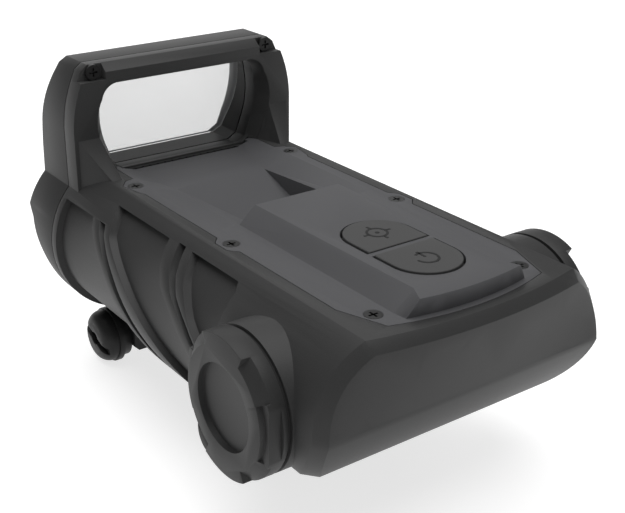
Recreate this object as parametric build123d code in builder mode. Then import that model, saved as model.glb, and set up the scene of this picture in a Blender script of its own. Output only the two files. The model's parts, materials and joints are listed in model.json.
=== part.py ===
"""Rail-mounted reflex sight: hooded window, keypad on the deck, cross battery tube, cross-bolt rail clamp.

Millimetres, +Z up, +Y towards the target. The origin is the middle of the rail seat, midway between the
two cross bolts. Heights inside the body are given from the deck, because everything hangs from it.
"""

import math
import os

from build123d import *

os.makedirs("parts", exist_ok=True)

# ---- body -----------------------------------------------------------------------------------------------
DECK_HEIGHT = 37.5  # flat deck above the rail seat
BARREL_RADIUS = 18.8  # round flanks of the body
BARREL_OFFSET = 14.1  # flank centres, either side of the middle
BARREL_DROP = 16.3  # flank centres below the deck
BODY_WALL = 3.6
SEAM_Y = 27.9  # joint between housing and front bezel
BEZEL_DEPTH = 13.1  # from that joint to the nose
TAIL_Y = -74.4  # rear wall at deck height, on the middle line
TAIL_RISE = 6.0  # height above the deck where the wall's curve is drawn
TAIL_SAG = 11.4  # depth of that curve, seen from above, across 80 mm
TAIL_LEAN = 3.6  # how far the foot of the rear wall is tucked in
TAIL_FOOT = 16.0  # height of that foot below the deck
TAIL_CHAMFER = 1.9
BELLY_RADIUS = 28.5  # curve from the rear wall to the underside
HOOD_HEIGHT = 23.4  # hood top above the deck
HOOD_HALF_WIDTH = 27.8
HOOD_DEPTH = 4.7  # rear half of the hood, behind the joint
LEDGE_DROP = 2.6  # ledge that carries the top cover
ROOF_DROP = 5.0  # roof of the body's hollow, below the deck

HOOD_REAR_Y = SEAM_Y - HOOD_DEPTH
NOSE_Y = SEAM_Y + BEZEL_DEPTH
BODY_HALF_WIDTH = BARREL_OFFSET + BARREL_RADIUS
BELLY_DROP = BARREL_DROP + BARREL_RADIUS  # underside below the deck
FAR = 120.0  # longer than anything that is cut through

# ---- clearances -----------------------------------------------------------------------------------------
SEAM_GAP = 0.3  # gasket between housing and bezel
COVER_GAP = 0.15  # line round the top cover
FIT_GAP = 0.1  # parts that seat in one another
SLIDE_GAP = 0.3  # faces that move past one another
THREAD_GAP = 0.1  # radial room in a thread
SCREW_GAP = 0.05  # radial room round a small screw

# ---- small screws ---------------------------------------------------------------------------------------
SCREW_RADIUS = 0.95
SCREW_HEAD = 1.6
SCREW_HEAD_DEPTH = 0.7
SCREW_LENGTH = 4.4
SCREW_SINK = 0.05  # head below the surface
CROSS_SPAN = 1.9
CROSS_WIDTH = 0.42
CROSS_DEPTH = 0.5

# ---- battery compartment --------------------------------------------------------------------------------
BATTERY_Y = TAIL_Y + 23.5
BATTERY_Z = DECK_HEIGHT - BARREL_DROP
BOSS_RADIUS = 13.2
BOSS_END = 33.2  # end of the boss, from the middle
BOSS_ROOT = 27.0  # inner end of its thread
CAP_GAP = 0.8  # seal groove between boss and cap
CAP_THICKNESS = 4.2
CAP_RIM = 0.9  # full ring at the foot of the cap
CAP_PLUG_RADIUS = 10.4
CAP_PLUG_LENGTH = 4.6
CAP_BORE = 9.1
CAP_FLOOR = 1.2
CAP_RECESS_RADIUS = 7.9
CAP_RECESS_DEPTH = 1.2
CAP_FLAT = 12.3  # flats, from the axis
CAP_EDGE = 11.0  # edge of the cap's face
CELL_RADIUS = 8.5
CELL_LENGTH = 34.2
TUBE_BORE = 8.75
TUBE_WALL = 1.2
CAP_START = BOSS_END + CAP_GAP
CAP_END = CAP_START + CAP_THICKNESS
PLUG_END = CAP_START - CAP_PLUG_LENGTH
CUP_END = CAP_END - CAP_RECESS_DEPTH - CAP_FLOOR
LOCK_SCREW_RADIUS = 0.55

# ---- top cover, keypad block and buttons ----------------------------------------------------------------
COVER_THICKNESS = 2.2
COVER_HALF_WIDTH = 20.7
TAB_REACH = 1.6  # screw tabs, beyond the cover's side
TONGUE_HALF_WIDTH = 18.4
TONGUE_END = 2.4  # front end of the cover, behind the joint
OPENING_HALF_WIDTH = 17.0
FRONT_SCREW_Y = HOOD_REAR_Y - 11.7
BLOCK_HEIGHT = 3.3
BLOCK_FRONT_Y = TAIL_Y + 55.4
BLOCK_REAR_Y = TAIL_Y + 5.2
BLOCK_RADIUS = 60.0
BLOCK_HALF_BASE = 13.8
BLOCK_HALF_TOP = 9.9
BLOCK_CORNER = 4.4  # where the block's sides start to turn, before its rear end
BLOCK_HOLLOW = 8.3
BLOCK_WALL = 1.5
MIDDLE_SCREW_Y = BLOCK_FRONT_Y - 6.8
REAR_SCREW_Y = TAIL_Y + 11.1
SIDE_SCREW_X = 20.0
REAR_SCREW_X = 16.7
PAD_Y = TAIL_Y + 23.9
PAD_RADIUS = 6.8
PAD_HALF_STRAIGHT = 6.0
PAD_GAP = 0.45
PAD_PROUD = 0.25
BAND_WIDTH = 1.2
BAND_GAP = 0.12
BUTTON_TRAVEL = 0.6
FLANGE_LIP = 0.7
FLANGE_THICKNESS = 0.6

# ---- sighting channel -----------------------------------------------------------------------------------
BANK_HALF_WIDTH = 18.2
FLOOR_DROP = 2.0
FLOOR_START_Y = HOOD_REAR_Y - 8.2
RAMP_TOP_Y = HOOD_REAR_Y - 13.9
RAMP_HALF_WIDTH = 11.2
RAMP_DROP = 11.2  # foot of the ramp, below the deck
TUB_WALL = 1.6

# ---- rail clamp -----------------------------------------------------------------------------------------
BASE_THICKNESS = DECK_HEIGHT - BELLY_DROP
BASE_HALF_WIDTH = 13.0
BASE_HALF_LENGTH = 33.0
BOLT_SPACING = 50.05  # five rail slots of 10.01
BOLT_RADIUS = 1.7
BOLT_DROP = 2.9  # bolt axis below the rail seat
BOLT_END = 24.5
BOLT_HEAD_RADIUS = 3.6
BOLT_HEAD_LENGTH = 2.6
KEY_HALF_WIDTH = 2.4  # lug that sits in the rail's slot
KEY_FLOOR = 2.95
CLAMP_LENGTH = 13.6
RAIL_TOP_HALF = 7.9
RAIL_WIDE_HALF = 10.7
RAIL_WIDE_DROP = 2.8
JAW_DROP = 5.4
FIXED_JAW_END = 14.5
MOVING_JAW_END = 19.0
NUT_RADIUS = 6.4
NUT_COLLAR_RADIUS = 5.6
NUT_COLLAR = 2.1
NUT_FLANGE = 1.2
NUT_DOME = 3.5
NUT_SLOT = 1.8

# ---- optics ---------------------------------------------------------------------------------------------
LENS_TILT = 14.0
LENS_THICKNESS = 2.2
LENS_Y = SEAM_Y + 7.6  # back of the lens at its middle height
LENS_RISE = 8.5  # that height above the deck
FRAME_WALL = 1.7
FRAME_STEP = 0.6  # the lens frame is set back from the housing's edge
BEZEL_STEP = 1.0  # and the front opening further
FUNNEL_DEPTH = 3.4
RETAINER_END = SEAM_Y + 3.2
EMITTER_TILT = 14.0
EMITTER_DROP = 7.4
EMITTER_Y = BLOCK_FRONT_Y - 8.0
EMITTER_RADIUS = 2.8
EMITTER_LENGTH = 8.0
PIN_RADIUS = 0.8  # cross pin of the emitter's carrier
PIN_DROP = EMITTER_DROP + 5.0
PIN_Y = EMITTER_Y - 1.6
EAR_X = 4.8  # inner face of the carrier bracket's ears
EAR_THICKNESS = 1.2

# ---- flank pockets, in side view: (distance along the sight, height from the deck) -----------------------
POCKET_DEPTH = 1.5
POCKET_FLOOR = BELLY_DROP + 1.0
POCKET_INNER_X = 13.0
FRONT_GROOVE = [(10.1, -5.3), (8.7, -7.1), (5.1, -10.1), (1.3, -13.1), (-22.6, -POCKET_FLOOR)]
REAR_GROOVE = [(-16.7, -1.6), (-19.1, -5.7), (-21.7, -8.5), (-26.9, -11.8), (-59.0, -POCKET_FLOOR)]
MIDDLE_EDGE = [(7.6, -1.8), (6.1, -3.9), (4.2, -7.0), (-5.3, -13.1), (-13.5, -19.4), (-35.6, -POCKET_FLOOR)]
REAR_EDGE = [(-21.6, -1.7), (-24.2, -5.6), (-29.3, -10.9), (-38.5, -17.8)]
GROOVE_WIDTH = 2.4
FRONT_POCKET_TOP = 5.4
FRONT_POCKET_EDGE = SEAM_Y - 2.0

# ---- adjusters ------------------------------------------------------------------------------------------
DIAL_RADIUS = 4.0
DIAL_FLANGE = 5.0
DIAL_FACE_X = BODY_HALF_WIDTH - 2.0
DIAL_PITCH = 11.0
DIAL_Y = SEAM_Y - 13.9
COIN_SLOT = 0.9


def section(y):
    """Plane across the sight: X is the sight's X, Y is the height from the deck, it faces rearwards."""
    return Plane(origin=(0, y, DECK_HEIGHT), x_dir=(1, 0, 0), z_dir=(0, -1, 0))


def side(x):
    """Plane along the sight: X is the sight's Y, Y is the height from the deck, it faces +X."""
    return Plane(origin=(x, 0, DECK_HEIGHT), x_dir=(0, 1, 0), z_dir=(1, 0, 0))


def deck(height):
    """Level plane at a height from the deck."""
    return Plane.XY.offset(DECK_HEIGHT + height)


def facing(x, y, z):
    """Plane at a point that faces +X, for round pieces that lie across the sight."""
    return Plane(origin=(x, y, z), x_dir=(0, 1, 0), z_dir=(1, 0, 0))


def lens_plane(depth):
    """Plane that leans with the lens, a distance in front of its back face."""
    lean = math.radians(LENS_TILT)
    normal = Vector(0, math.cos(lean), math.sin(lean))
    middle = Vector(0, LENS_Y, DECK_HEIGHT + LENS_RISE)
    return Plane(origin=middle + normal * depth, x_dir=(1, 0, 0), z_dir=normal)


def both_sides(points):
    """A whole outline from its right half, listed from the top or front round to the other end."""
    return points + [(-x, z) for x, z in reversed(points)]


def slab(plane, points, amount, mode=Mode.ADD):
    """Adds or cuts a prism with straight sides in the open part."""
    with BuildSketch(plane) as profile:
        Polygon(*points, align=None)
    extrude(profile.sketch, amount=amount, mode=mode)


def rod(plane, radius, length, mode=Mode.ADD):
    """Adds or cuts a round bar in the open part."""
    with BuildSketch(plane) as profile:
        Circle(radius)
    extrude(profile.sketch, amount=length, mode=mode)


def barrel_outline(inset, top=0.0):
    """Draws the body's section in the open sketch: two round flanks, cut flat at a height."""
    radius = BARREL_RADIUS - inset
    with Locations((-BARREL_OFFSET, -BARREL_DROP), (BARREL_OFFSET, -BARREL_DROP)):
        Circle(radius)
    with Locations((0, -BARREL_DROP)):
        Rectangle(2 * BARREL_OFFSET, 2 * radius)
    with Locations((0, top)):
        Rectangle(FAR, BARREL_RADIUS, align=(Align.CENTER, Align.MIN), mode=Mode.SUBTRACT)


def hood_outline():
    """Draws the hood's section in the open sketch, down into the body."""
    foot = -BARREL_DROP
    with BuildLine() as edge:
        Polyline((HOOD_HALF_WIDTH, foot), (HOOD_HALF_WIDTH, 8.0))
        ThreePointArc((HOOD_HALF_WIDTH, 8.0), (HOOD_HALF_WIDTH - 0.6, 14.4), (HOOD_HALF_WIDTH - 2.3, 19.7))
        Polyline(
            (HOOD_HALF_WIDTH - 2.3, 19.7),
            (HOOD_HALF_WIDTH - 3.4, HOOD_HEIGHT - 1.2),
            (HOOD_HALF_WIDTH - 5.0, HOOD_HEIGHT),
            (-HOOD_HALF_WIDTH + 5.0, HOOD_HEIGHT),
            (-HOOD_HALF_WIDTH + 3.4, HOOD_HEIGHT - 1.2),
            (-HOOD_HALF_WIDTH + 2.3, 19.7),
        )
        ThreePointArc((-HOOD_HALF_WIDTH + 2.3, 19.7), (-HOOD_HALF_WIDTH + 0.6, 14.4), (-HOOD_HALF_WIDTH, 8.0))
        Polyline((-HOOD_HALF_WIDTH, 8.0), (-HOOD_HALF_WIDTH, foot), (HOOD_HALF_WIDTH, foot))
    make_face(edge.edges())


def window_outline(grow, mode=Mode.ADD):
    """Draws the window in the open sketch, grown all round by an amount."""
    with BuildSketch(Plane.XY, mode=Mode.PRIVATE) as pane:
        with BuildLine():
            Line((-16.8, 18.5), (16.8, 18.5))
            ThreePointArc((16.8, 18.5), (18.9, 17.3), (19.6, 15.0))
            ThreePointArc((19.6, 15.0), (20.0, 10.5), (18.5, 3.6))
            Polyline((18.5, 3.6), (17.2, 0.2), (15.2, -1.0), (-15.2, -1.0), (-17.2, 0.2), (-18.5, 3.6))
            ThreePointArc((-18.5, 3.6), (-20.0, 10.5), (-19.6, 15.0))
            ThreePointArc((-19.6, 15.0), (-18.9, 17.3), (-16.8, 18.5))
        make_face()
        if grow:
            offset(amount=grow, mode=Mode.REPLACE)
    add(pane.sketch, mode=mode)


def cover_outline(grow):
    """Draws the top cover in the open sketch: tongue, screw tabs, slanted corners and a curved rear end."""
    side_x = COVER_HALF_WIDTH
    tab_x = COVER_HALF_WIDTH + TAB_REACH
    half = [
        (TONGUE_HALF_WIDTH, SEAM_Y - TONGUE_END),
        (TONGUE_HALF_WIDTH, FRONT_SCREW_Y + 4.2),
        (side_x - 0.3, FRONT_SCREW_Y + 3.6),
        (tab_x, FRONT_SCREW_Y + 1.2),
        (side_x + 0.5, FRONT_SCREW_Y - 4.7),
        (side_x, FRONT_SCREW_Y - 5.5),
        (side_x, MIDDLE_SCREW_Y + 3.8),
        (tab_x, MIDDLE_SCREW_Y + 1.9),
        (tab_x, MIDDLE_SCREW_Y - 2.2),
        (side_x, MIDDLE_SCREW_Y - 4.0),
        (side_x, REAR_SCREW_Y + 4.8),
        (REAR_SCREW_X + 0.7, REAR_SCREW_Y - 4.5),
    ]
    with BuildSketch(Plane.XY, mode=Mode.PRIVATE) as plate:
        with BuildLine():
            Polyline(*[(-x, y) for x, y in reversed(half)], *half)
            ThreePointArc(half[-1], (0, TAIL_Y + 3.9), (-half[-1][0], half[-1][1]))
        make_face()
        if grow:
            offset(amount=grow, kind=Kind.INTERSECTION, mode=Mode.REPLACE)
    add(plate.sketch)


def cross_recess(plane, depth=CROSS_DEPTH):
    """Cuts a cross-head driver recess in the open part."""
    with BuildSketch(plane) as recess:
        Rectangle(CROSS_SPAN, CROSS_WIDTH)
        Rectangle(CROSS_WIDTH, CROSS_SPAN)
    extrude(recess.sketch, amount=-depth, mode=Mode.SUBTRACT)


def flat_screw(plane, length):
    """Adds a countersunk cross-head screw to the open part, its head in the plane."""
    rod(plane, SCREW_RADIUS, -length)
    with BuildSketch(plane) as head:
        Circle(SCREW_HEAD)
    with BuildSketch(plane.offset(-SCREW_HEAD_DEPTH)) as neck:
        Circle(SCREW_RADIUS)
    loft([head.sketch.face(), neck.sketch.face()])
    cross_recess(plane)


def screw_seat(plane, length):
    """Cuts the hole and countersink of a flat screw in the open part."""
    rod(plane, SCREW_RADIUS + SCREW_GAP, -length, mode=Mode.SUBTRACT)
    with BuildSketch(plane) as mouth:
        Circle(SCREW_HEAD + 2 * SCREW_GAP + SCREW_SINK)
    with BuildSketch(plane.offset(-SCREW_HEAD_DEPTH - 2 * SCREW_GAP)) as neck:
        Circle(SCREW_RADIUS + SCREW_GAP)
    loft([mouth.sketch.face(), neck.sketch.face()], mode=Mode.SUBTRACT)


COVER_SCREWS = [
    (sign * x, y)
    for x, y in ((SIDE_SCREW_X, FRONT_SCREW_Y), (SIDE_SCREW_X, MIDDLE_SCREW_Y), (REAR_SCREW_X, REAR_SCREW_Y))
    for sign in (-1, 1)
]
HOOD_SCREW = (HOOD_HALF_WIDTH - 6.0, HOOD_HEIGHT - 1.6)
HOOD_SCREW_FLOOR = HOOD_REAR_Y + 2.0
CHIN_SCREW = (BARREL_OFFSET + 11.2, -BARREL_DROP - 8.7)
CHIN_BOSS = 2.8
BOLT_YS = (BOLT_SPACING / 2, -BOLT_SPACING / 2)
FOOT_Y = TAIL_Y + TAIL_LEAN
BELLY_Y = FOOT_Y + math.sqrt(BELLY_RADIUS**2 - (BELLY_DROP - BELLY_RADIUS - TAIL_FOOT) ** 2)


def belly(inset):
    """Draws, in an open side sketch, what lies behind the curve from the rear wall to the underside."""
    radius = BELLY_RADIUS - inset
    centre_z = BELLY_RADIUS - BELLY_DROP
    start_z = -TAIL_FOOT
    start_y = BELLY_Y - math.sqrt(radius**2 - (start_z - centre_z) ** 2)
    middle = (BELLY_Y - radius * math.sin(math.radians(40)), centre_z - radius * math.cos(math.radians(40)))
    with BuildLine() as edge:
        ThreePointArc((start_y, start_z), middle, (BELLY_Y, centre_z - radius))
        Polyline((BELLY_Y, centre_z - radius), (BELLY_Y, -FAR), (-FAR, -FAR), (-FAR, start_z), (start_y, start_z))
    make_face(edge.edges())


# ==== shared forms =======================================================================================
# What the rear wall leaves of a long bar: curved from above at the deck, straight at its foot.
with BuildPart() as tail_form:
    crown_y = TAIL_Y - TAIL_LEAN * TAIL_RISE / TAIL_FOOT
    with BuildSketch(deck(TAIL_RISE)):
        with BuildLine():
            ThreePointArc((-40, crown_y + TAIL_SAG), (0, crown_y), (40, crown_y + TAIL_SAG))
            Polyline((40, crown_y + TAIL_SAG), (40, SEAM_Y), (-40, SEAM_Y), (-40, crown_y + TAIL_SAG))
        make_face()
    with BuildSketch(deck(-TAIL_FOOT)):
        Polygon((40, FOOT_Y), (40, SEAM_Y), (-40, SEAM_Y), (-40, FOOT_Y), align=None)
    loft(ruled=True)
    slab(
        deck(-TAIL_FOOT),
        [(-40, FOOT_Y), (40, FOOT_Y), (40, SEAM_Y), (-40, SEAM_Y)],
        -BARREL_RADIUS - 4.0,
    )

# The body's hollow.
with BuildPart() as hollow:
    with BuildSketch(section(SEAM_Y + 1.0)):
        barrel_outline(BODY_WALL, top=-ROOF_DROP)
    extrude(amount=SEAM_Y + 1.0 - TAIL_Y - 8.0)
    with BuildSketch(side(-FAR / 2)):
        belly(BODY_WALL)
    extrude(amount=FAR, mode=Mode.SUBTRACT)

# Pockets and grooves in both flanks, as deep as the skin that is left between two body sections.
with BuildPart() as flank_cuts:
    with BuildSketch(side(-FAR / 2)):
        front_rear = [(y + 3.0, z) for y, z in FRONT_GROOVE]
        Polygon(
            (FRONT_POCKET_EDGE, -FRONT_POCKET_TOP),
            *front_rear,
            (FRONT_POCKET_EDGE, -POCKET_FLOOR),
            align=None,
        )
        middle_rear = [(y + 3.4, z - 0.2) for y, z in reversed(REAR_GROOVE)]
        Polygon(*MIDDLE_EDGE, *middle_rear, align=None)
        Polygon(*REAR_EDGE, (REAR_EDGE[-1][0], -2.9), (REAR_EDGE[-1][0] + 1.2, -1.7), align=None)
        for groove in (FRONT_GROOVE, REAR_GROOVE):
            far_side = [(y - GROOVE_WIDTH, z) for y, z in reversed(groove)]
            Polygon(*groove, *far_side, align=None)
    extrude(amount=FAR)
    with BuildSketch(section(SEAM_Y)):
        barrel_outline(-1.0)
        with BuildSketch(mode=Mode.SUBTRACT):
            barrel_outline(POCKET_DEPTH)
    extrude(amount=FAR, mode=Mode.INTERSECT)
    slab(section(SEAM_Y), [(-POCKET_INNER_X, 9), (POCKET_INNER_X, 9), (POCKET_INNER_X, -50), (-POCKET_INNER_X, -50)],
         FAR, mode=Mode.SUBTRACT)

# The body before its cuts.
with BuildPart() as body_blank:
    with BuildSketch(section(SEAM_Y)):
        barrel_outline(0)
    extrude(amount=SEAM_Y - TAIL_Y + 6.0)
    add(tail_form.part, mode=Mode.INTERSECT)
    with BuildSketch(side(-FAR / 2)):
        belly(0)
    extrude(amount=FAR, mode=Mode.SUBTRACT)

# Its rear end, chamfered round the wall and down both sides of the curve below.
TAIL_CUT = Plane(origin=(0, TAIL_Y + 22.4, 0), z_dir=(0, 1, 0))
with BuildPart() as tail:
    add(body_blank.part)
    split(bisect_by=TAIL_CUT, keep=Keep.BOTTOM)
    behind = faces().filter_by(lambda f: f.center().Y < TAIL_CUT.origin.Y - 0.5)
    wall_and_belly = behind.filter_by(lambda f: abs(f.center().X) < 1.0 and f.center().Z < DECK_HEIGHT - 1.0)
    rim = [
        edge
        for edge in wall_and_belly.edges()
        if edge.center().Z > DECK_HEIGHT - TAIL_FOOT + 0.5 or abs(edge.center().X) > 15.0
    ]
    chamfer(rim, length=TAIL_CHAMFER)

# ==== housing ============================================================================================
with BuildPart() as main_housing:
    add(body_blank.part)
    split(bisect_by=TAIL_CUT, keep=Keep.TOP)
    add(tail.part)
    add(flank_cuts.part, mode=Mode.SUBTRACT)
    rod(facing(-BOSS_END, BATTERY_Y, BATTERY_Z), BOSS_RADIUS, 2 * BOSS_END)
    # hood and its gussets
    with BuildSketch(section(SEAM_Y)) as hood_profile:
        hood_outline()
    extrude(hood_profile.sketch, amount=HOOD_DEPTH)
    for sign in (-1, 1):
        root = [(22.1, 8.7), (27.4, 8.7), (27.4, -6.0), (18.0, -6.0), (18.4, 0.0)]
        tip = [(20.5, -0.4), (22.6, -0.4), (22.6, -6.0), (20.4, -6.0), (20.45, -0.9)]
        with BuildSketch(section(HOOD_REAR_Y + 0.8)) as gusset_root:
            Polygon(*[(sign * x, z) for x, z in root], align=None)
        with BuildSketch(section(HOOD_REAR_Y - 7.1)) as gusset_tip:
            Polygon(*[(sign * x, z) for x, z in tip], align=None)
        loft([gusset_root.sketch.face(), gusset_tip.sketch.face()], ruled=True)
    slab(
        side(-HOOD_HALF_WIDTH + 8.3),
        [(HOOD_REAR_Y + 2.2, HOOD_HEIGHT), (HOOD_REAR_Y, HOOD_HEIGHT - 1.6), (HOOD_REAR_Y - 2, HOOD_HEIGHT + 1)],
        2 * (HOOD_HALF_WIDTH - 8.3),
        mode=Mode.SUBTRACT,
    )
    for sign in (-1, 1):
        slab(
            section(HOOD_SCREW_FLOOR),
            [(sign * 19.5, 20.1), (sign * 40, 20.1), (sign * 40, 40), (sign * 19.5, 40)],
            HOOD_DEPTH,
            mode=Mode.SUBTRACT,
        )
    # hollow, battery bosses, chin bosses
    add(hollow.part, mode=Mode.SUBTRACT)
    for start in (-BOSS_END, BOSS_ROOT):
        rod(facing(start, BATTERY_Y, BATTERY_Z), BOSS_RADIUS, BOSS_END - BOSS_ROOT)
    rod(facing(-BOSS_END, BATTERY_Y, BATTERY_Z), CAP_PLUG_RADIUS + THREAD_GAP, 2 * BOSS_END, mode=Mode.SUBTRACT)
    for sign in (-1, 1):
        boss_face = Plane(
            origin=(sign * CHIN_SCREW[0], SEAM_Y, DECK_HEIGHT + CHIN_SCREW[1]), x_dir=(1, 0, 0), z_dir=(0, -1, 0)
        )
        rod(boss_face, CHIN_BOSS, 9.0)
    # seat and opening for the top cover
    with BuildSketch(deck(0)):
        cover_outline(COVER_GAP)
    extrude(amount=-LEDGE_DROP, mode=Mode.SUBTRACT)
    opening = [
        (OPENING_HALF_WIDTH, SEAM_Y - 6.0),
        (OPENING_HALF_WIDTH, REAR_SCREW_Y + 3.0),
        (OPENING_HALF_WIDTH - 4.0, REAR_SCREW_Y + 2.0),
        (OPENING_HALF_WIDTH - 4.0, REAR_SCREW_Y - 2.0),
    ]
    slab(deck(-LEDGE_DROP), both_sides(opening), LEDGE_DROP - ROOF_DROP - 0.2, mode=Mode.SUBTRACT)
    # window funnel and the lens frame's seat
    with BuildSketch(section(HOOD_REAR_Y - 0.01)) as funnel_mouth:
        with BuildLine():
            Line((-17.2, 19.2), (17.2, 19.2))
            ThreePointArc((17.2, 19.2), (19.7, 17.9), (20.7, 16.0))
            ThreePointArc((20.7, 16.0), (22.2, 10.0), (20.5, 4.3))
            Polyline((20.5, 4.3), (18.4, 0.2), (18.0, -1.0), (-18.0, -1.0), (-18.4, 0.2), (-20.5, 4.3))
            ThreePointArc((-20.5, 4.3), (-22.2, 10.0), (-20.7, 16.0))
            ThreePointArc((-20.7, 16.0), (-19.7, 17.9), (-17.2, 19.2))
        make_face()
    with BuildSketch(section(HOOD_REAR_Y + FUNNEL_DEPTH)) as funnel_throat:
        window_outline(0)
    loft([funnel_mouth.sketch.face(), funnel_throat.sketch.face()], ruled=True, mode=Mode.SUBTRACT)
    with BuildSketch(section(SEAM_Y)) as frame_seat:
        window_outline(FRAME_WALL + FIT_GAP)
    extrude(frame_seat.sketch, amount=HOOD_DEPTH - FUNNEL_DEPTH, mode=Mode.SUBTRACT)
    # screw holes
    for x, y in COVER_SCREWS:
        rod(Plane(origin=(x, y, DECK_HEIGHT), z_dir=(0, 0, 1)), SCREW_RADIUS + SCREW_GAP, -ROOF_DROP - 0.5,
            mode=Mode.SUBTRACT)
    for sign in (-1, 1):
        for x, z in (HOOD_SCREW, CHIN_SCREW):
            middle = Plane(origin=(sign * x, SEAM_Y, DECK_HEIGHT + z), x_dir=(1, 0, 0), z_dir=(0, -1, 0))
            rod(middle, SCREW_RADIUS + SCREW_GAP, 8.0, mode=Mode.SUBTRACT)
    # bores of the two adjusters, in the right flank
    for step in (0.5, -0.5):
        rod(facing(0, DIAL_Y + step * DIAL_PITCH, BATTERY_Z), DIAL_RADIUS + THREAD_GAP, FAR, mode=Mode.SUBTRACT)
main_housing.part.label = "main_housing"
export_step(main_housing.part, "parts/main_housing.step")


# ==== front bezel ========================================================================================
CHIN = [
    (NOSE_Y - 0.7, 3.0),
    (NOSE_Y, -10.5),
    (NOSE_Y - 2.8, -12.8),
    (NOSE_Y - 4.5, -16.3),
    (NOSE_Y - 7.0, -20.7),
    (NOSE_Y - 8.7, -24.8),
    (NOSE_Y - 12.0, -BELLY_DROP - 0.1),
]


def bezel_side(setback):
    """Draws the bezel's side view in the open sketch, its front moved back by an amount."""
    brow = (NOSE_Y - 5.9 - setback, HOOD_HEIGHT)
    with BuildLine() as edge:
        ThreePointArc(brow, (NOSE_Y - 2.4 - setback, 13.0), (CHIN[0][0] - setback, CHIN[0][1]))
        Polyline(*[(y - setback, z) for y, z in CHIN], (SEAM_Y - 9, CHIN[-1][1]), (SEAM_Y - 9, HOOD_HEIGHT), brow)
    make_face(edge.edges())


with BuildPart() as chin_hollow:
    with BuildSketch(section(NOSE_Y)):
        barrel_outline(BODY_WALL, top=-ROOF_DROP)
    extrude(amount=BEZEL_DEPTH)
    with BuildSketch(side(-FAR / 2)):
        bezel_side(BODY_WALL)
    extrude(amount=FAR, mode=Mode.INTERSECT)

with BuildPart() as lens_seat:
    with BuildSketch(section(NOSE_Y)):
        window_outline(FRAME_WALL + FIT_GAP)
    extrude(amount=BEZEL_DEPTH)
    split(bisect_by=lens_plane(LENS_THICKNESS + FIT_GAP), keep=Keep.BOTTOM)

with BuildPart() as front_bezel:
    with BuildSketch(section(NOSE_Y + 2.0)):
        barrel_outline(0)
        hood_outline()
    extrude(amount=BEZEL_DEPTH + 2.0 - SEAM_GAP)
    with BuildSketch(side(-FAR / 2)):
        bezel_side(0)
    extrude(amount=FAR, mode=Mode.INTERSECT)
    add(chin_hollow.part, mode=Mode.SUBTRACT)
    with BuildSketch(section(NOSE_Y)) as light_path:
        window_outline(BEZEL_STEP)
    extrude(light_path.sketch, amount=FAR, mode=Mode.SUBTRACT)
    add(lens_seat.part, mode=Mode.SUBTRACT)
    for sign in (-1, 1):
        for (x, z), length in ((HOOD_SCREW, 4.0), (CHIN_SCREW, FAR)):
            middle = Plane(origin=(sign * x, SEAM_Y, DECK_HEIGHT + z), x_dir=(1, 0, 0), z_dir=(0, 1, 0))
            rod(middle, SCREW_RADIUS + SCREW_GAP, length, mode=Mode.SUBTRACT)
        head_well = Plane(
            origin=(sign * CHIN_SCREW[0], SEAM_Y + 2.4, DECK_HEIGHT + CHIN_SCREW[1]), x_dir=(1, 0, 0), z_dir=(0, 1, 0)
        )
        rod(head_well, SCREW_HEAD + FIT_GAP, FAR, mode=Mode.SUBTRACT)
front_bezel.part.label = "front_bezel"
export_step(front_bezel.part, "parts/front_bezel.step")

with BuildPart() as bezel_gasket:
    with BuildSketch(section(SEAM_Y + SEAM_GAP)) as gasket_outline:
        barrel_outline(0)
        hood_outline()
        offset(amount=-0.4, mode=Mode.REPLACE)
    extrude(amount=SEAM_GAP)
    with BuildSketch(section(SEAM_Y + SEAM_GAP)):
        barrel_outline(BODY_WALL - 0.2, top=-ROOF_DROP)
        window_outline(FRAME_WALL + FIT_GAP)
        with Locations(*[(sign * x, z) for x, z in (HOOD_SCREW, CHIN_SCREW) for sign in (-1, 1)]):
            Circle(SCREW_RADIUS + SCREW_GAP)
    extrude(amount=SEAM_GAP, mode=Mode.SUBTRACT)
bezel_gasket.part.label = "bezel_gasket"
export_step(bezel_gasket.part, "parts/bezel_gasket.step")

with BuildPart() as hood_screws:
    for sign in (-1, 1):
        seat = Plane(
            origin=(sign * HOOD_SCREW[0], HOOD_SCREW_FLOOR - 0.9, DECK_HEIGHT + HOOD_SCREW[1]),
            x_dir=(1, 0, 0),
            z_dir=(0, -1, 0),
        )
        rod(seat, SCREW_HEAD + SCREW_GAP, -0.9)
        rod(seat, SCREW_RADIUS, -6.4)
        cross_recess(seat)
hood_screws.part.label = "hood_screws"
export_step(hood_screws.part, "parts/hood_screws.step")

with BuildPart() as chin_screws:
    for sign in (-1, 1):
        seat = Plane(
            origin=(sign * CHIN_SCREW[0], SEAM_Y + 3.3, DECK_HEIGHT + CHIN_SCREW[1]), x_dir=(1, 0, 0), z_dir=(0, 1, 0)
        )
        rod(seat, SCREW_HEAD, -0.9)
        rod(seat, SCREW_RADIUS, -10.0)
        cross_recess(seat)
chin_screws.part.label = "chin_screws"
export_step(chin_screws.part, "parts/chin_screws.step")

# ==== lens and its frame =================================================================================
with BuildPart() as lens_retainer:
    with BuildSketch(section(RETAINER_END)):
        window_outline(FRAME_WALL)
        window_outline(FRAME_STEP, mode=Mode.SUBTRACT)
    extrude(amount=RETAINER_END - HOOD_REAR_Y - FUNNEL_DEPTH - SEAM_GAP)
lens_retainer.part.label = "lens_retainer"
export_step(lens_retainer.part, "parts/lens_retainer.step")

with BuildPart() as lens_bed:
    with BuildSketch(section(RETAINER_END + SEAM_GAP)):
        window_outline(FRAME_WALL)
        window_outline(FRAME_STEP, mode=Mode.SUBTRACT)
    extrude(amount=-BEZEL_DEPTH)
    split(bisect_by=lens_plane(0), keep=Keep.BOTTOM)
lens_bed.part.label = "lens_bed"
export_step(lens_bed.part, "parts/lens_bed.step")

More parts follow.
